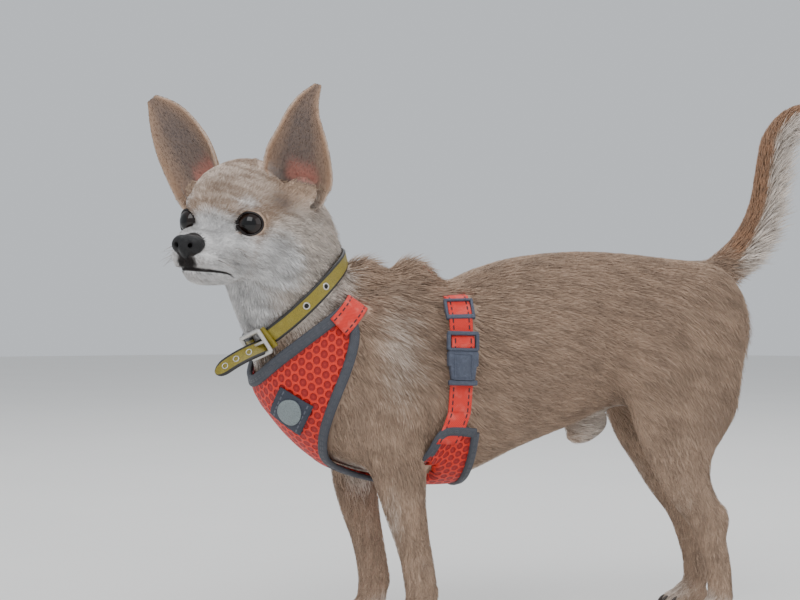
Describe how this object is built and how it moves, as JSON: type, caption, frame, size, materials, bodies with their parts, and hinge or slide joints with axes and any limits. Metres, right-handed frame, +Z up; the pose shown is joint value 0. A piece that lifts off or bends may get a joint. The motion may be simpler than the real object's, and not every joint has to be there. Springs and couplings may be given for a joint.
{
  "type": "chihuahua dog model",
  "caption": "Life-size still model of a standing smooth-coated chihuahua that wears a padded harness and a leather collar.",
  "frame": {"origin": "under the middle of the model, on the floor that the four paws stand on", "axes": "the dog looks towards -X with its head turned towards -Y, its left side faces -Y and +Z is up"},
  "size_m": [0.4888, 0.1258, 0.3543],
  "materials": {
    "coat": "short smooth fawn fur with white and dark grey markings",
    "eye": "wet dark brown",
    "nose_leather": "moist black, finely pebbled",
    "air_mesh": "coral red air mesh with dark round cells",
    "binding": "dark grey woven binding",
    "webbing": "red nylon webbing with dark stitches",
    "buckle_plastic": "slate grey moulded plastic",
    "nickel": "worn nickel plate",
    "collar_leather": "olive yellow leather with black edges"
  },
  "bodies": {
    "root": {"head": "coat", "neck": "coat", "torso": "coat", "tail_root": "coat", "tail_middle": "coat", "tail_tip": "coat", "ear_left": "coat", "ear_right": "coat", "foreleg_left": "coat", "forepaw_left": "coat", "hindleg_upper_left": "coat", "hindleg_lower_left": "coat", "hindpaw_left": "coat", "foreleg_right": "coat", "forepaw_right": "coat", "hindleg_upper_right": "coat", "hindleg_lower_right": "coat", "hindpaw_right": "coat", "eye_left": "eye", "eye_right": "eye", "nose": "nose_leather", "harness_vest": "air_mesh", "harness_vest_edging": "binding", "harness_patch": "binding", "harness_neck_strap": "webbing", "harness_back_strap": "webbing", "harness_girth_top": "webbing", "harness_girth_link_left": "webbing", "harness_girth_lower_left": "webbing", "harness_adjuster_left": "buckle_plastic", "harness_buckle_left": "buckle_plastic", "harness_girth_link_right": "webbing", "harness_girth_lower_right": "webbing", "harness_adjuster_right": "buckle_plastic", "harness_buckle_right": "buckle_plastic", "collar_strap": "collar_leather", "collar_end": "collar_leather", "collar_keeper": "collar_leather", "collar_buckle": "nickel"}
  },
  "joints": []
}
